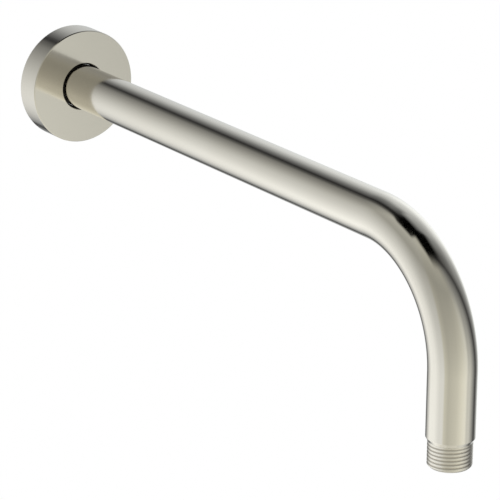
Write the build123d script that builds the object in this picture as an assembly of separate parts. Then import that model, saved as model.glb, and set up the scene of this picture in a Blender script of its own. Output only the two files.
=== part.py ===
"""Wall-mounted shower arm, in millimetres.

A bent brass tube carries a threaded nipple in each end. A hollow cover plate slides and turns
on the tube's straight run, on a rubber ring that sits in a groove in the plate's collar.

The origin is on the tube's axis in the plane of the wall. +X points out of the wall along the
arm and +Z points up, so the outlet points down along -Z.
"""
import os

from build123d import *

# Bent tube
REACH = 330.0  # wall plane to the outlet's axis
DROP = 91.0  # arm's axis down to the tube's lower end
BEND_RADIUS = 58.0  # on the centre line
TUBE_OD = 23.0
TUBE_WALL = 2.0
OUTLET_BEVEL_WIDTH = 1.0  # across the wall, at the tube's lower end
OUTLET_BEVEL_HEIGHT = 1.8  # along the tube
INLET_BEVEL = 0.5

# Threaded nipples, brazed into the tube's ends
THREAD_OD = 20.955  # major diameter of a G 1/2 pipe thread
OUTLET_THREAD_LENGTH = 12.5
INLET_THREAD_LENGTH = 18.0
THREAD_BEVEL = 1.0
NIPPLE_BORE = 15.0
MOUTH_BEVEL = 0.6  # inside edge of the threaded end
SPIGOT_LENGTH = 12.0  # stretch inside the tube
BRAZE_GAP = 0.05  # radial

# Cover plate
FLANGE_OD = 60.0
FLANGE_DEPTH = 14.0
FLANGE_FACE = 2.5  # thickness of the front
FLANGE_SKIRT = 2.0  # thickness of the side wall
FACE_BEVEL = 0.6
HOLE_GAP = 1.0  # radial, between the tube and the plate's hole
HOLE_BEVEL = 0.25
COLLAR_WALL = 2.2  # metal outside the ring's groove
LIP_THICKNESS = 1.8  # metal ahead of the groove
LAND_THICKNESS = 2.5  # metal behind the groove

# Rubber ring
RING_SECTION = 2.6
RING_SIDES = 8  # flats round the section
RING_FIT = 0.05  # radial clearance to the tube and to the groove's floor
GROOVE_SIDE_GAP = 0.3

# Shared sizes
tube_radius = TUBE_OD / 2
bore_radius = tube_radius - TUBE_WALL
run_length = REACH - BEND_RADIUS
ring_radius = tube_radius + RING_FIT + RING_SECTION / 2
groove_radius = ring_radius + RING_SECTION / 2 + RING_FIT
groove_width = RING_SECTION + 2 * GROOVE_SIDE_GAP
groove_front = FLANGE_DEPTH - LIP_THICKNESS
groove_back = groove_front - groove_width


def arm_tube():
    """Straight run out of the wall, one bend, and a short run down to a bevelled end."""
    with BuildPart() as tube:
        with BuildLine(Plane.XZ) as route:
            Line((0, 0), (run_length, 0))
            TangentArc((run_length, 0), (REACH, -BEND_RADIUS), tangent=(1, 0))
            Line((REACH, -BEND_RADIUS), (REACH, -DROP))
        with BuildSketch(Plane.YZ):
            Circle(tube_radius)
            Circle(bore_radius, mode=Mode.SUBTRACT)
        sweep(path=route.wire())
        outlet_end = tube.faces().sort_by(Axis.Z)[0]
        outlet_rim = outlet_end.edges().sort_by(SortBy.RADIUS)[-1]
        chamfer(outlet_rim, length=OUTLET_BEVEL_WIDTH, length2=OUTLET_BEVEL_HEIGHT, reference=outlet_end)
        inlet_end = tube.faces().sort_by(Axis.X)[0]
        chamfer(inlet_end.edges().sort_by(SortBy.RADIUS)[-1], length=INLET_BEVEL)
    return tube.part


def nipple(thread_length, seat):
    """Turned nipple on the seat plane: the spigot stands along the plane's normal, inside the tube."""
    spigot_radius = bore_radius - BRAZE_GAP
    with BuildPart(seat) as turned:
        Cylinder(spigot_radius, SPIGOT_LENGTH, align=(Align.CENTER, Align.CENTER, Align.MIN))
        Cylinder(THREAD_OD / 2, thread_length, align=(Align.CENTER, Align.CENTER, Align.MAX))
        Cylinder(NIPPLE_BORE / 2, 2 * (SPIGOT_LENGTH + thread_length), mode=Mode.SUBTRACT)
        along = Axis(seat.origin, seat.z_dir)
        thread_end = turned.faces().filter_by(GeomType.PLANE).sort_by(along)[0]
        mouth, rim = thread_end.edges().sort_by(SortBy.RADIUS)
        chamfer(rim, length=THREAD_BEVEL)
        chamfer(mouth, length=MOUTH_BEVEL)
    return turned.part


def wall_flange():
    """Cover plate turned about the tube's axis, hollow from behind, with a grooved collar."""
    hole_radius = tube_radius + HOLE_GAP
    collar_radius = groove_radius + COLLAR_WALL
    collar_back = groove_back - LAND_THICKNESS
    skirt_radius = FLANGE_OD / 2 - FLANGE_SKIRT
    front_back = FLANGE_DEPTH - FLANGE_FACE
    with BuildPart() as flange:
        with BuildSketch(Plane.XZ):
            with BuildLine():
                Polyline(
                    (0, skirt_radius),
                    (0, FLANGE_OD / 2),
                    (FLANGE_DEPTH, FLANGE_OD / 2),
                    (FLANGE_DEPTH, hole_radius),
                    (groove_front, hole_radius),
                    (groove_front, groove_radius),
                    (groove_back, groove_radius),
                    (groove_back, hole_radius),
                    (collar_back, hole_radius),
                    (collar_back, collar_radius),
                    (front_back, collar_radius),
                    (front_back, skirt_radius),
                    close=True,
                )
            make_face()
        revolve(axis=Axis.X)
        front = flange.faces().sort_by(Axis.X)[-1]
        hole_edge, face_edge = front.edges().sort_by(SortBy.RADIUS)
        chamfer(face_edge, length=FACE_BEVEL)
        chamfer(hole_edge, length=HOLE_BEVEL)
    return flange.part


def flange_o_ring():
    """Rubber ring in the collar's groove, pressed flat where it meets the tube and the metal."""
    with BuildPart() as ring:
        with BuildSketch(Plane.XZ):
            with Locations(((groove_front + groove_back) / 2, ring_radius)):
                RegularPolygon(RING_SECTION / 2, RING_SIDES, major_radius=False, rotation=180 / RING_SIDES)
        revolve(axis=Axis.X)
    return ring.part


pieces = {
    "arm_tube": arm_tube(),
    "outlet_nipple": nipple(OUTLET_THREAD_LENGTH, Plane((REACH, 0, -DROP), z_dir=(0, 0, 1))),
    "inlet_nipple": nipple(INLET_THREAD_LENGTH, Plane((0, 0, 0), z_dir=(1, 0, 0))),
    "wall_flange": wall_flange(),
    "flange_o_ring": flange_o_ring(),
}

os.makedirs("parts", exist_ok=True)
for node, piece in pieces.items():
    export_step(piece, f"parts/{node}.step")
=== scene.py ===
# %% [markdown]
# # A wall-mounted shower arm
# The arm is a brass tube that is bent down at its far end and plated with satin nickel. A threaded
# nipple is brazed into each end, and a round cover plate slides on the tube on a rubber ring.
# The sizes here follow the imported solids. The solids were cut into coarse flat triangles, which would
# break up the reflections of polished metal, so each one is built again with a fine, smooth skin.

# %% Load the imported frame
import math

import bmesh
import bpy
from mathutils import Matrix, Vector


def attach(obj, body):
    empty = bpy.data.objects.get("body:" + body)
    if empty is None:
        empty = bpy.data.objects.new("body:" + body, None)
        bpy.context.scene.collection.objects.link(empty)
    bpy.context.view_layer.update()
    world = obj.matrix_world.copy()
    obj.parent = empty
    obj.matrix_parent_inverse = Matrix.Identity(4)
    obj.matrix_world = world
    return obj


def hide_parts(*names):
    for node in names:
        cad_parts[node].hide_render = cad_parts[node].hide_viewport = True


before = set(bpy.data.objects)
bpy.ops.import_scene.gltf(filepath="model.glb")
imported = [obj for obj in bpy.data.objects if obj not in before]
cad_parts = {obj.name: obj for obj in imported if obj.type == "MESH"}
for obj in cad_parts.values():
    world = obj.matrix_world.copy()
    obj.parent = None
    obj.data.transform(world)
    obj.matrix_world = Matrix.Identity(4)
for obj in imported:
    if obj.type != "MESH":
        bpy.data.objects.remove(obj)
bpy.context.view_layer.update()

# %% [markdown]
# ## Turning an outline into a piece
# Every piece here is round, so each one is an outline of (along, radius) points in millimetres that is
# carried round a centre line, as a lathe would. Blender's Screw modifier can do that for a straight axis
# only. Skinning rings of points in code also follows the tube's bend and can wind a thread.
# Each point keeps the distance along the outline, which the finishes later use to draw fine lines, and
# how far a thread has sunk it.

# %% A lathe that can follow a bend
MM = 0.001
ROUND_SIDES = 128  # points round the tube, the nipples and the ring


def turned(name, outline, place, sides, radius_at=None):
    """Skins a closed outline round the centre line that place(along) gives as an origin and two axes."""
    points, travel, sunk = [], [], []
    walked = 0.0
    for step, corner in enumerate(outline):
        walked += (corner - outline[step - 1]).length if step else 0.0
        origin, up, side = place(corner.x)
        for k in range(sides):
            turn = 2 * math.pi * k / sides
            radius = radius_at(corner.x, corner.y, turn) if radius_at else corner.y
            points.append((origin + (up * math.cos(turn) + side * math.sin(turn)) * radius) * MM)
            travel.append(walked)
            sunk.append(corner.y - radius)
    faces = []
    for i in range(len(outline)):
        here, ahead = i * sides, (i + 1) % len(outline) * sides
        for k in range(sides):
            beside = (k + 1) % sides
            faces.append((here + k, here + beside, ahead + beside, ahead + k))
    mesh = bpy.data.meshes.new(name)
    mesh.from_pydata(points, [], faces)
    for label, values in (("travel_mm", travel), ("sunk_mm", sunk)):
        mesh.attributes.new(label, "FLOAT", "POINT").data.foreach_set("value", values)
    skin = bmesh.new()
    skin.from_mesh(mesh)
    bmesh.ops.recalc_face_normals(skin, faces=skin.faces)
    skin.to_mesh(mesh)
    skin.free()
    mesh.shade_smooth()
    piece = bpy.data.objects.new(name, mesh)
    bpy.context.scene.collection.objects.link(piece)
    print(name, "has", 2 * len(faces), "triangles")
    return piece


# %% [markdown]
# Real edges are never knife sharp: polishing rounds them by a tenth of a millimetre or two, and that
# rounding is what catches a thin line of light. A Bevel modifier could add it, but the outline is the
# simpler place. A point is kept just before and just after each rounded corner, so that smooth shading
# stays on the corner and the flats beside it keep reflecting as flats.

# %% Rounded corners and extra stations
HOLD = 0.04  # mm from a rounded corner to the point that keeps its flat side flat
CORNER_STEPS = 5


def rounded(corners):
    """Rounds the corners (along, radius, rounding) of a closed outline."""
    outline = []
    for i, (x, y, rounding) in enumerate(corners):
        here = Vector((x, y))
        back = (Vector(corners[i - 1][:2]) - here).normalized()
        ahead = (Vector(corners[(i + 1) % len(corners)][:2]) - here).normalized()
        half = back.angle(ahead) / 2
        reach = rounding / math.tan(half)
        centre = here + (back + ahead).normalized() * (rounding / math.sin(half))
        start = (here + back * reach - centre).normalized()
        end = (here + ahead * reach - centre).normalized()
        outline.append(here + back * (reach + HOLD))
        outline += [centre + start.slerp(end, k / CORNER_STEPS) * rounding for k in range(CORNER_STEPS + 1)]
        outline.append(here + ahead * (reach + HOLD))
    return outline


def divided(outline, cuts):
    """Adds a point wherever a side of the outline crosses one of the cuts."""
    finer = []
    for a, b in zip(outline, outline[1:] + outline[:1]):
        finer.append(a)
        crossed = sorted(c for c in cuts if min(a.x, b.x) < c < max(a.x, b.x))
        for c in crossed if b.x > a.x else reversed(crossed):
            finer.append(a.lerp(b, (c - a.x) / (b.x - a.x)))
    return finer


print("points at a rounded corner:", CORNER_STEPS + 3)

# %% [markdown]
# ## The bent tube
# The tube is drawn brass, 23 mm across with a 2 mm wall, bent on a mandrel to a radius of 58 mm on its
# centre line. It could be a Bezier curve with a round bevel, but a Bezier arc is only nearly round and the
# tube would have no wall. Here the outline is the wall's long section: out along the outside, round the
# lower end's bevel and back along the bore. Extra stations every 1.25 mm carry it round the bend.

# %% Build the tube
REACH, DROP, BEND = 330.0, 91.0, 58.0
TUBE_RADIUS, TUBE_WALL = 11.5, 2.0
BORE_RADIUS = TUBE_RADIUS - TUBE_WALL
INLET_BEVEL = 0.5
OUTLET_BEVEL_WIDTH, OUTLET_BEVEL_HEIGHT = 1.0, 1.8  # across the wall and along the tube
RUN = REACH - BEND  # straight stretch from the wall
ARC = BEND * math.pi / 2
TUBE_LENGTH = RUN + ARC + DROP - BEND
BEND_STEPS = 73


def along_arm(along):
    """Centre and two axes of the tube at a distance from the wall, measured along it."""
    angle = min(max(along - RUN, 0.0), ARC) / BEND
    outward = Vector((math.sin(angle), 0, math.cos(angle)))
    centre = Vector((RUN, 0, -BEND)) + outward * BEND
    centre.x += min(along - RUN, 0.0)
    centre.z -= max(along - RUN - ARC, 0.0)
    return centre, outward, Vector((0, -1, 0))


bend_stations = [RUN + ARC * k / BEND_STEPS for k in range(-1, BEND_STEPS + 2)]
tube_corners = [
    (0, BORE_RADIUS, 0.15),
    (0, TUBE_RADIUS - INLET_BEVEL, 0.12),
    (INLET_BEVEL, TUBE_RADIUS, 0.2),
    (TUBE_LENGTH - OUTLET_BEVEL_HEIGHT, TUBE_RADIUS, 0.4),
    (TUBE_LENGTH, TUBE_RADIUS - OUTLET_BEVEL_WIDTH, 0.12),
    (TUBE_LENGTH, BORE_RADIUS, 0.15),
]
tube = turned("bent_tube", divided(rounded(tube_corners), bend_stations), along_arm, ROUND_SIDES)

# %% [markdown]
# ## The threaded nipples
# The nipples carry a G 1/2 pipe thread, 20.955 mm across with 14 turns to the inch, a pitch of 1.814 mm.
# A thread could be modelled with the Screw modifier and joined on, but a cut thread is simply a groove
# that winds round a cylinder: the radius dips where the distance along the axis, less the share of a turn,
# passes half a pitch. The photograph shows soft, low rows, so the groove is only 0.3 mm deep, much
# shallower than the standard's.

# %% Build the nipples
THREAD_RADIUS, PITCH = 10.4775, 1.814
THREAD_DEPTH = 0.3
THREAD_HALF_WIDTH = 0.3  # half the groove's width, as a share of the pitch
THREAD_RUN_OUT = 1.2  # mm over which the cutter leaves the work, next to the tube
STATIONS_PER_TURN = 18
OUTLET_THREAD_LENGTH, INLET_THREAD_LENGTH = 12.5, 18.0
THREAD_BEVEL, MOUTH_BEVEL = 1.0, 0.6
MOUTH_RADIUS = 7.5
BRAZE_GAP = 0.05
SPIGOT_RADIUS, SPIGOT_LENGTH = BORE_RADIUS - BRAZE_GAP, 12.0


def thread_radius(along, radius, turn):
    """Radius of the threaded skin: a rounded groove that winds right-handed along the axis."""
    phase = (along / PITCH - turn / (2 * math.pi)) % 1.0
    dip = max(0.0, 1 - abs(phase - 0.5) / THREAD_HALF_WIDTH)
    depth = THREAD_DEPTH * dip * dip * (3 - 2 * dip) * min(max(along / THREAD_RUN_OUT, 0.0), 1.0)
    return min(radius, THREAD_RADIUS - depth)


def nipple(name, thread_length, place):
    """A threaded end with its spigot, measured from the tube's end outwards."""
    corners = [
        (-SPIGOT_LENGTH, MOUTH_RADIUS, 0.15),
        (-SPIGOT_LENGTH, SPIGOT_RADIUS, 0.15),
        (0, SPIGOT_RADIUS, 0.02),
        (0, THREAD_RADIUS, 0.05),
        (thread_length - THREAD_BEVEL, THREAD_RADIUS, 0.15),
        (thread_length, THREAD_RADIUS - THREAD_BEVEL, 0.15),
        (thread_length, MOUTH_RADIUS + MOUTH_BEVEL, 0.1),
        (thread_length - MOUTH_BEVEL, MOUTH_RADIUS, 0.1),
    ]
    steps = int(STATIONS_PER_TURN * thread_length / PITCH)
    stations = [PITCH / STATIONS_PER_TURN * k for k in range(1, steps + 1)]
    return turned(name, divided(rounded(corners), stations), place, ROUND_SIDES, thread_radius)


def below_the_tube(along):
    """Centre and two axes of the outlet, at a distance below the tube's lower end."""
    return Vector((REACH, 0, -DROP - along)), Vector((1, 0, 0)), Vector((0, -1, 0))


def behind_the_wall(along):
    """Centre and two axes of the wall thread, at a distance behind the wall's plane."""
    return Vector((-along, 0, 0)), Vector((0, 0, 1)), Vector((0, 1, 0))


outlet = nipple("outlet_thread", OUTLET_THREAD_LENGTH, below_the_tube)
inlet = nipple("wall_thread", INLET_THREAD_LENGTH, behind_the_wall)

# %% [markdown]
# ## The cover plate and its ring
# The plate hides the hole in the tiles. It is a shallow turned cup, 60 mm across and 14 mm deep, with a
# flat front, a crisp bevel and a collar inside that holds a rubber ring in a groove. Its outline runs round
# the whole section, so the hollow back is as true as the front. The 1 mm gap round the tube is left open:
# it is dark because light hardly gets out of it, and the black ring lies just inside.

# %% Build the plate and the ring
PLATE_RADIUS, PLATE_DEPTH, PLATE_SIDES = 30.0, 14.0, 192
PLATE_FRONT, PLATE_SKIRT, COLLAR_WALL = 2.5, 2.0, 2.2  # thicknesses
FACE_BEVEL, HOLE_BEVEL = 0.4, 0.25
HOLE_GAP, RING_FIT = 1.0, 0.05  # from the tube to the plate's hole and to the ring
RING_SECTION, RING_POINTS = 1.3, 28  # radius of the ring's section, and points round it
LIP, GROOVE_WIDTH, LAND = 1.8, 3.2, 2.5  # along the axis: ahead of the ring's groove, in it and behind it
HOLE_RADIUS = TUBE_RADIUS + HOLE_GAP
RING_RADIUS = TUBE_RADIUS + RING_FIT + RING_SECTION
GROOVE_RADIUS = RING_RADIUS + RING_SECTION + RING_FIT
COLLAR_RADIUS = GROOVE_RADIUS + COLLAR_WALL
SKIRT_RADIUS = PLATE_RADIUS - PLATE_SKIRT
FRONT_INSIDE = PLATE_DEPTH - PLATE_FRONT
GROOVE_AHEAD = PLATE_DEPTH - LIP
GROOVE_BEHIND = GROOVE_AHEAD - GROOVE_WIDTH
COLLAR_END = GROOVE_BEHIND - LAND
RING_CENTRE = (GROOVE_AHEAD + GROOVE_BEHIND) / 2


def on_the_axis(along):
    """Centre and two axes of what turns on the arm's straight run."""
    return Vector((along, 0, 0)), Vector((0, 0, 1)), Vector((0, -1, 0))


plate_corners = [
    (0, PLATE_RADIUS, 0.2),
    (PLATE_DEPTH - FACE_BEVEL, PLATE_RADIUS, 0.15),
    (PLATE_DEPTH, PLATE_RADIUS - FACE_BEVEL, 0.15),
    (PLATE_DEPTH, HOLE_RADIUS + HOLE_BEVEL, 0.1),
    (PLATE_DEPTH - HOLE_BEVEL, HOLE_RADIUS, 0.1),
    (GROOVE_AHEAD, HOLE_RADIUS, 0.1),
    (GROOVE_AHEAD, GROOVE_RADIUS, 0.2),
    (GROOVE_BEHIND, GROOVE_RADIUS, 0.2),
    (GROOVE_BEHIND, HOLE_RADIUS, 0.1),
    (COLLAR_END, HOLE_RADIUS, 0.2),
    (COLLAR_END, COLLAR_RADIUS, 0.2),
    (FRONT_INSIDE, COLLAR_RADIUS, 0.4),
    (FRONT_INSIDE, SKIRT_RADIUS, 0.6),
    (0, SKIRT_RADIUS, 0.2),
]
plate = turned("cover_plate", rounded(plate_corners), on_the_axis, PLATE_SIDES)
ring_outline = [
    Vector((RING_CENTRE + RING_SECTION * math.cos(a), RING_RADIUS + RING_SECTION * math.sin(a)))
    for a in (2 * math.pi * k / RING_POINTS for k in range(RING_POINTS))
]
ring = turned("sealing_ring", ring_outline, on_the_axis, ROUND_SIDES)

# %% [markdown]
# ## Joining the pieces to the part
# Each piece rides on a body of the imported part, so it moves as the solids do, and stands for the solid of
# the same shape.

# %% Ride and replace
for piece, body, node, slot in (
    (tube, "arm", "arm_tube", "nickel_tube"),
    (outlet, "arm", "outlet_nipple", "nickel_thread"),
    (inlet, "arm", "inlet_nipple", "nickel_thread"),
    (plate, "plate", "wall_flange", "nickel_plate"),
    (ring, "seal", "flange_o_ring", "nitrile_rubber"),
):
    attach(piece, body)
    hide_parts(node)
    print(piece.name, "rides on", body)

# %% [markdown]
# ## Small helpers for the finishes
# Colours are written as the hex values that a picture editor shows, and one function turns them into the
# linear values that Blender computes with. One more function adds a node, sets it and links it.

# %% Colour and node helpers


def linear(hex_colour):
    """Linear red, green, blue and alpha of an sRGB hex value, by the sRGB standard's curve."""
    channels = [int(hex_colour[i : i + 2], 16) / 255 for i in (1, 3, 5)]
    return [c / 12.92 if c <= 0.04045 else ((c + 0.055) / 1.055) ** 2.4 for c in channels] + [1.0]


def add(tree, kind, inputs=None, **settings):
    """Adds a node. An input is a plain value or another node's output socket."""
    node = tree.nodes.new(kind)
    for key, value in settings.items():
        setattr(node, key, value)
    for socket, value in (inputs or {}).items():
        if isinstance(value, bpy.types.NodeSocket):
            tree.links.new(value, node.inputs[socket])
        else:
            node.inputs[socket].default_value = value
    return node


def fresh(name):
    """A material with an empty node tree and its output node."""
    material = bpy.data.materials.new(name)
    material.use_nodes = True
    material.node_tree.nodes.clear()
    return material, material.node_tree, material.node_tree.nodes.new("ShaderNodeOutputMaterial")


print("middle grey of a picture editor, in linear light:", round(linear("#808080")[0], 3))

# %% [markdown]
# ## Satin nickel
# The plating is nickel over a bright layer of copper, a pale metal with a touch of yellow. A soft
# belt leaves hair lines round the tube about 0.05 mm apart, and the plated face of the plate keeps the
# turning tool's rings. Both are too fine for the picture, so they are drawn 1.2 mm apart and very faint.
# What the eye gets is a clear but slightly soft mirror: bands of the room with gently blurred edges.

# %% Satin nickel, and the tube in it
NICKEL, NICKEL_SHADE = "#E2DFD9", "#DFDBD4"
HAIR_SPACING, HAIR_RUN, HAIR_DEPTH = 1.2, 16.7, 0.02  # mm between hair lines, along one and into it
CLOUD_SIZE = 28.6  # mm between paler and darker places in the plating
NOISE_LOW, NOISE_HIGH = 0.3, 0.7  # a noise seldom leaves this range
SATIN, SATIN_BUMP = (0.09, 0.13), 0.03  # roughness of the smoothest and the dullest lines, and bump


def satin_nickel(name, line_spacing, roughness, bump):
    """Nickel with hair lines round the axis, as its material, its node tree and its shader."""
    material, tree, output = fresh(name)
    walked = add(tree, "ShaderNodeAttribute", attribute_name="travel_mm").outputs["Fac"]
    place = add(tree, "ShaderNodeTexCoord").outputs["Object"]
    scale = 1 / (HAIR_RUN * MM)  # the noise multiplies W by its scale too, so the scale is divided out
    line = add(tree, "ShaderNodeMath", {0: walked, 1: line_spacing * scale}, operation="DIVIDE").outputs[0]
    hair = add(
        tree, "ShaderNodeTexNoise", {"Vector": place, "W": line, "Scale": scale, "Detail": 2.0},
        noise_dimensions="4D",
    ).outputs["Fac"]
    cloud = add(
        tree, "ShaderNodeTexNoise", {"Vector": place, "Scale": 1 / (CLOUD_SIZE * MM), "Detail": 3.0}
    ).outputs["Fac"]
    tone = add(  # sockets 6 and 7 are the two colours of a colour mix, and its output 2 the result
        tree, "ShaderNodeMix", {"Factor": cloud, 6: linear(NICKEL), 7: linear(NICKEL_SHADE)},
        data_type="RGBA",
    )
    dull = add(
        tree, "ShaderNodeMapRange",
        {
            "Value": hair, "From Min": NOISE_LOW, "From Max": NOISE_HIGH,
            "To Min": roughness[0], "To Max": roughness[1],
        },
    ).outputs["Result"]
    raised = add(
        tree, "ShaderNodeBump", {"Height": hair, "Strength": bump, "Distance": HAIR_DEPTH * MM}
    ).outputs["Normal"]
    metal = add(
        tree, "ShaderNodeBsdfPrincipled",
        {"Base Color": tone.outputs[2], "Metallic": 1.0, "Roughness": dull, "Normal": raised},
    )
    tree.links.new(metal.outputs[0], output.inputs["Surface"])
    return material, tree, metal


tube_metal = satin_nickel("satin nickel on drawn brass", HAIR_SPACING, SATIN, SATIN_BUMP)[0]
tube.data.materials.append(tube_metal)
print("nickel base colour:", [round(c, 3) for c in linear(NICKEL)[:3]])

# %% [markdown]
# The polishing wheel reaches the outside of the plate but not its hollow back, which keeps the dull
# nickel of the plating bath. The outline starts at the back edge, so the distance along it tells the two
# apart: past the lip of the hole, the metal is inside. To the eye, the back loses its mirror and turns
# milky.

# %% Satin nickel for the plate, dull inside
plate_metal, tree, metal = satin_nickel("satin nickel on turned brass", HAIR_SPACING, SATIN, SATIN_BUMP)
INSIDE = PLATE_DEPTH + PLATE_RADIUS - HOLE_RADIUS  # mm along the outline to the lip of the hole
INSIDE_FADE = 1.5  # mm over which the polish ends
UNPOLISHED = 0.24  # roughness that the plating bath adds
walked = add(tree, "ShaderNodeAttribute", attribute_name="travel_mm").outputs["Fac"]
unpolished = add(
    tree, "ShaderNodeMapRange",
    {
        "Value": walked, "From Min": INSIDE, "From Max": INSIDE + INSIDE_FADE,
        "To Min": 0.0, "To Max": UNPOLISHED,
    },
).outputs["Result"]
polished = metal.inputs["Roughness"].links[0].from_socket
dull = add(tree, "ShaderNodeMath", {0: polished, 1: unpolished}, operation="ADD").outputs[0]
tree.links.new(dull, metal.inputs["Roughness"])
plate.data.materials.append(plate_metal)
print("the plate is dull from", INSIDE, "mm along its outline")

# %% [markdown]
# A cut thread is plated with the rest, but its grooves keep traces of polishing paste. The depth that the
# lathe function kept for each point darkens the floor of the groove in the base colour: partly that paste,
# partly painted shade because the grooves see less of the room. The tool's marks are closer and duller than
# a belt's, so the eye sees the room only as soft light and dark.

# %% Nickel on the cut thread
CUT_SPACING, CUT, CUT_BUMP = 0.9, (0.28, 0.36), 0.04  # mm between tool marks, roughness, bump
# The darker colour in the grooves is polishing paste and painted shade together.
PASTE_AND_SHADE, PASTE_AND_SHADE_SHARE = "#A3978A", 0.45
PASTE_AND_SHADE_START = 0.1  # mm below the crest
thread_metal, tree, metal = satin_nickel("nickel on cut thread", CUT_SPACING, CUT, CUT_BUMP)
depth = add(tree, "ShaderNodeAttribute", attribute_name="sunk_mm").outputs["Fac"]
# Share of the darker colour by depth below the crest: paste plus painted shade in the groove.
paste_and_shade_mix = add(
    tree, "ShaderNodeMapRange",
    {
        "Value": depth, "From Min": PASTE_AND_SHADE_START, "From Max": THREAD_DEPTH,
        "To Min": 0.0, "To Max": PASTE_AND_SHADE_SHARE,
    },
).outputs["Result"]
clean = metal.inputs["Base Color"].links[0].from_socket
stained_and_shaded = add(tree, "ShaderNodeMix", {"Factor": paste_and_shade_mix, 6: clean, 7: linear(PASTE_AND_SHADE)}, data_type="RGBA")
tree.links.new(stained_and_shaded.outputs[2], metal.inputs["Base Color"])
for piece in (outlet, inlet):
    piece.data.materials.append(thread_metal)
    print(piece.name, "is stained from", PASTE_AND_SHADE_START, "to", THREAD_DEPTH, "mm down")

# %% [markdown]
# ## Nitrile rubber
# The ring is moulded nitrile rubber: black, dull and slightly greyed by silicone grease. Its grain
# is about 0.1 mm, finer than the picture shows, so it is drawn 2 mm apart and hardly raised.

# %% Rubber for the ring
GRAIN, GRAIN_DEPTH, GRAIN_BUMP = 2.0, 0.05, 0.1  # mm apart and deep, and the bump's strength
RUBBER, RUBBER_GREASE = "#0D0B09", "#1A1714"
RUBBER_SMOOTH, RUBBER_DULL = 0.42, 0.6  # roughness
rubber, tree, output = fresh("moulded nitrile rubber")
place = add(tree, "ShaderNodeTexCoord").outputs["Object"]
grain = add(
    tree, "ShaderNodeTexNoise", {"Vector": place, "Scale": 1 / (GRAIN * MM), "Detail": 2.0}
).outputs["Fac"]
dull = add(
    tree, "ShaderNodeMapRange", {"Value": grain, "To Min": RUBBER_SMOOTH, "To Max": RUBBER_DULL}
).outputs["Result"]
raised = add(
    tree, "ShaderNodeBump", {"Height": grain, "Strength": GRAIN_BUMP, "Distance": GRAIN_DEPTH * MM}
).outputs["Normal"]
black = add(
    tree, "ShaderNodeMix", {"Factor": grain, 6: linear(RUBBER), 7: linear(RUBBER_GREASE)}, data_type="RGBA"
)
skin = add(
    tree, "ShaderNodeBsdfPrincipled", {"Base Color": black.outputs[2], "Roughness": dull, "Normal": raised}
)
tree.links.new(skin.outputs[0], output.inputs["Surface"])
ring.data.materials.append(rubber)
print("rubber grain is drawn", GRAIN, "mm apart")

# %% [markdown]
# ## The white room
# The photograph has a plain white ground with no shadow on it. The world is plain white at strength 1, and
# a white floor lies two metres below the arm, about where a shower's floor is, so that the shadow is far
# too soft to see. At this level a colour renders about as it is written.

# %% Floor and world
WHITE = (1, 1, 1, 1)
FLOOR, FLOOR_REACH = -2.0, 60.0  # metres
scene = bpy.context.scene
scene.view_settings.view_transform = "Standard"
world = bpy.data.worlds.new("white room")
scene.world = world
world.use_nodes = True
world.node_tree.nodes["Background"].inputs["Color"].default_value = WHITE
world.node_tree.nodes["Background"].inputs["Strength"].default_value = 1.0

floor_corners = [(x * FLOOR_REACH, y * FLOOR_REACH, FLOOR) for x, y in ((-1, -1), (1, -1), (1, 1), (-1, 1))]
floor_mesh = bpy.data.meshes.new("floor")
floor_mesh.from_pydata(floor_corners, [], [(0, 1, 2, 3)])
floor = bpy.data.objects.new("floor", floor_mesh)
scene.collection.objects.link(floor)
paint, tree, output = fresh("matt white paint")
matt = add(tree, "ShaderNodeBsdfDiffuse", {"Color": WHITE})
tree.links.new(matt.outputs[0], output.inputs["Surface"])
floor_mesh.materials.append(paint)
print("the floor lies", -FLOOR, "m below the arm's axis")

# %% [markdown]
# ## A light tent
# Bare white all round would make polished metal nearly vanish, so photographers put it in a tent of cloth
# that is lit on some sides, and hang black strips inside: the soft bands on the metal are those sides. Here
# the tent is a ball of cloth round the arm that only reflections see, so the ground stays white and the
# light even. Lamps with soft edges could draw such bands too, but they would also change the light on the
# rubber. Each side is a short list of stops. A scratch fit to the photograph gave a first idea of them.
# They were rounded from it and then changed, until the bands lay about where the photograph's do.

# %% Stops and tints
AROUND = Vector((0.17, 0, 0))  # the middle of the arm
TENT_RADIUS = 1.95  # metres


def between(stops, place):
    """The value at a place on a line through (place, value) stops, level beyond the ends."""
    if place <= stops[0][0]:
        return stops[0][1]
    for (a, low), (b, high) in zip(stops, stops[1:]):
        if place <= b:
            return low + (high - low) * (place - a) / (b - a)
    return stops[-1][1]


def tinted(brightness, hex_colour):
    """Red, green and blue of a glow that is as bright as this and has the tint of a hex colour."""
    return brightness * Vector(linear(hex_colour)[:3])


print("tent is", 2 * TENT_RADIUS, "m across")

# %% The cloth's lit and unlit sides
# Stops round the arm are in degrees from +X towards +Y. Stops for height are metres up, two metres away.
AWAY = 2.0
SHADE = [(0, 0.22), (4, 0.5)]  # the unlit upper cloth, by height
LIT_SHARE = [(-1.5, 1), (1.5, 0.1)]  # how far the light from below reaches up the cloth
LEFT_CLOTH = [(-115, 1.3), (-90, 1.05)]  # the lit cloth left of the camera
# The cloth behind the camera and to its right, with a grey card at 35 degrees for the plate's face.
NEAR_CLOTH = [(-70, 0.9), (-50, 0.7), (-15, 0.85), (25, 1.25), (35, 0.75), (45, 1.3)]
NEAR_FOOT = [(-1.5, 0.84), (-0.9, 1)]  # the near cloth darkens towards its foot, by height
FAR_CLOTH = [(90, 0.8), (120, 1.2)]  # thin white cloth behind the arm
TO_NEAR, TO_FAR = [(-72, 0), (-68, 1)], [(5, 0), (80, 1)]  # where one cloth goes over into the next
TABLE = [(-6, 0.8), (-2, 0)]  # the share of a cream table top far below, by height
TABLE_GLOW, TABLE_TINT = 1.1, "#D8D6CA"
SHADE_TINT, LEFT_TINT, NEAR_TINT, FAR_TINT = "#FFFEEF", "#FEFFFB", "#FFFDEC", "#F9FCFB"
print("near cloth at 0 degrees glows", between(NEAR_CLOTH, 0))

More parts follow.
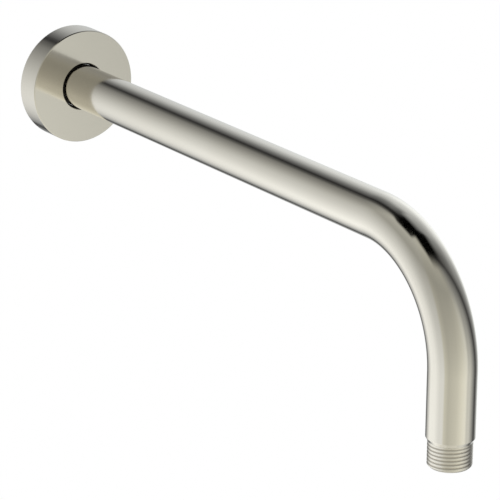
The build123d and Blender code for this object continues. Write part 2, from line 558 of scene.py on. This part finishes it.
# %% Black strips and a black roof
# Each strip has its middle, its lean in degrees a metre, its glow, and its half width, over which it fades.
STRIPS = ((70, -12, 0.05, 45), (171, 5, 0.1, 45), (174, 5, 0.05, 5))
LEAN_FOOT, LEAN_TOP = -3, 6  # heights between which a strip leans
# The roof's stops are metres along Y and X from the arm's middle. Its jog shifts stretches of it along Y.
ROOF_HEIGHT = 1.4
ROOF_Y = [(-0.55, 0), (-0.3, 1), (0.4, 1), (0.9, 0.6), (3, 0.1)]
ROOF_X = [(-3, 0), (-1.2, 0.65), (-0.7, 0.75), (-0.3, 1), (0.6, 1), (1, 0)]
ROOF_JOG = [(-0.5, 0), (-0.4, -0.25), (0.05, -0.25), (0.15, 0.15), (0.3, 0.08)]
ROOF_EDGE = 0.05  # the least rise of a direction that can meet the roof
print("black strips:", len(STRIPS))

# %% How bright the tent is in each direction


def cloth_glow(way):
    """Red, green and blue glow of the tent in the direction way, where 1 is white."""
    degrees = math.degrees(math.atan2(way.y, way.x))
    height = AWAY * way.z / max(math.hypot(way.x, way.y), 0.001)
    left = tinted(between(LEFT_CLOTH, degrees), LEFT_TINT)
    near = tinted(between(NEAR_CLOTH, degrees) * between(NEAR_FOOT, height), NEAR_TINT)
    lit = left.lerp(near, between(TO_NEAR, degrees))
    closed = tinted(between(SHADE, height), SHADE_TINT).lerp(lit, between(LIT_SHARE, height))
    far = tinted(between(FAR_CLOTH, degrees), FAR_TINT)
    glow = closed.lerp(far, between(TO_FAR, degrees))
    for middle, lean, dim, half_width in STRIPS:
        hangs = middle + lean * min(max(height, LEAN_FOOT), LEAN_TOP)
        off = (degrees - hangs + 180) % 360 - 180
        glow = glow.lerp(Vector((dim, dim, dim)), max(0.0, 1 - abs(off) / half_width))
    if way.z > ROOF_EDGE:
        x, y = ROOF_HEIGHT * way.x / way.z, ROOF_HEIGHT * way.y / way.z
        glow *= 1 - between(ROOF_Y, y - between(ROOF_JOG, x)) * between(ROOF_X, x)
    return glow.lerp(tinted(TABLE_GLOW, TABLE_TINT), between(TABLE, height))


print("tent straight overhead:", [round(c, 2) for c in cloth_glow(Vector((0, 0, 1)))])

# %% [markdown]
# The ball's points carry the glow as a colour, and its material gives out that colour as light. An image
# could hold it too, but a mesh this fine needs none. The camera, diffuse light and shadows don't see it.

# %% Hang the tent
COLUMNS, ROWS = 360, 120
spots, faces, glows = [], [], []
for j in range(ROWS + 1):
    lift = math.pi * (j / ROWS - 0.5)
    for k in range(COLUMNS):
        turn = 2 * math.pi * (k + 0.5) / COLUMNS - math.pi
        way = Vector((math.cos(lift) * math.cos(turn), math.cos(lift) * math.sin(turn), math.sin(lift)))
        spots.append(AROUND + way * TENT_RADIUS)
        glows += [*cloth_glow(way), 1.0]
for j in range(ROWS):
    for k in range(COLUMNS):
        corner, beside = j * COLUMNS + k, j * COLUMNS + (k + 1) % COLUMNS
        faces.append((corner, beside, beside + COLUMNS, corner + COLUMNS))
tent_mesh = bpy.data.meshes.new("light_tent")
tent_mesh.from_pydata(spots, [], faces)
tent_mesh.attributes.new("glow", "FLOAT_COLOR", "POINT").data.foreach_set("color", glows)
cloth, tree, output = fresh("lit tent cloth")
shine = add(tree, "ShaderNodeAttribute", attribute_name="glow").outputs["Color"]
light = add(tree, "ShaderNodeEmission", {"Color": shine, "Strength": 1.0})
tree.links.new(light.outputs[0], output.inputs["Surface"])
tent_mesh.materials.append(cloth)
tent = bpy.data.objects.new("light_tent", tent_mesh)
scene.collection.objects.link(tent)
tent.visible_camera = tent.visible_diffuse = tent.visible_shadow = False
print("tent has", len(faces), "panels")

# %% [markdown]
# ## The camera
# The photograph was taken from in front of the wall, off to one side and a little above, with a long lens
# from about a metre and a half. The place, the aim, the slight tilt and the lens were worked out by fitting
# the solids' outline to the photograph's, and then rounded.

# %% Camera
camera = bpy.data.objects.new("camera", bpy.data.cameras.new("camera"))
scene.collection.objects.link(camera)
scene.camera = camera
camera.data.lens = 213.2
camera.data.sensor_width = 36.0
camera.data.clip_end = 200.0
aim = Vector((169.2, 0, -46.4)) * MM
stand = Vector((1299, -783, 426)) * MM
tilt = math.radians(0.5)
turn = (stand - aim).to_track_quat("Z", "Y").to_matrix().to_4x4()
camera.matrix_world = Matrix.Translation(stand) @ turn @ Matrix.Rotation(tilt, 4, "Z")
print("camera stands", round((stand - aim).length, 3), "m from its aim")
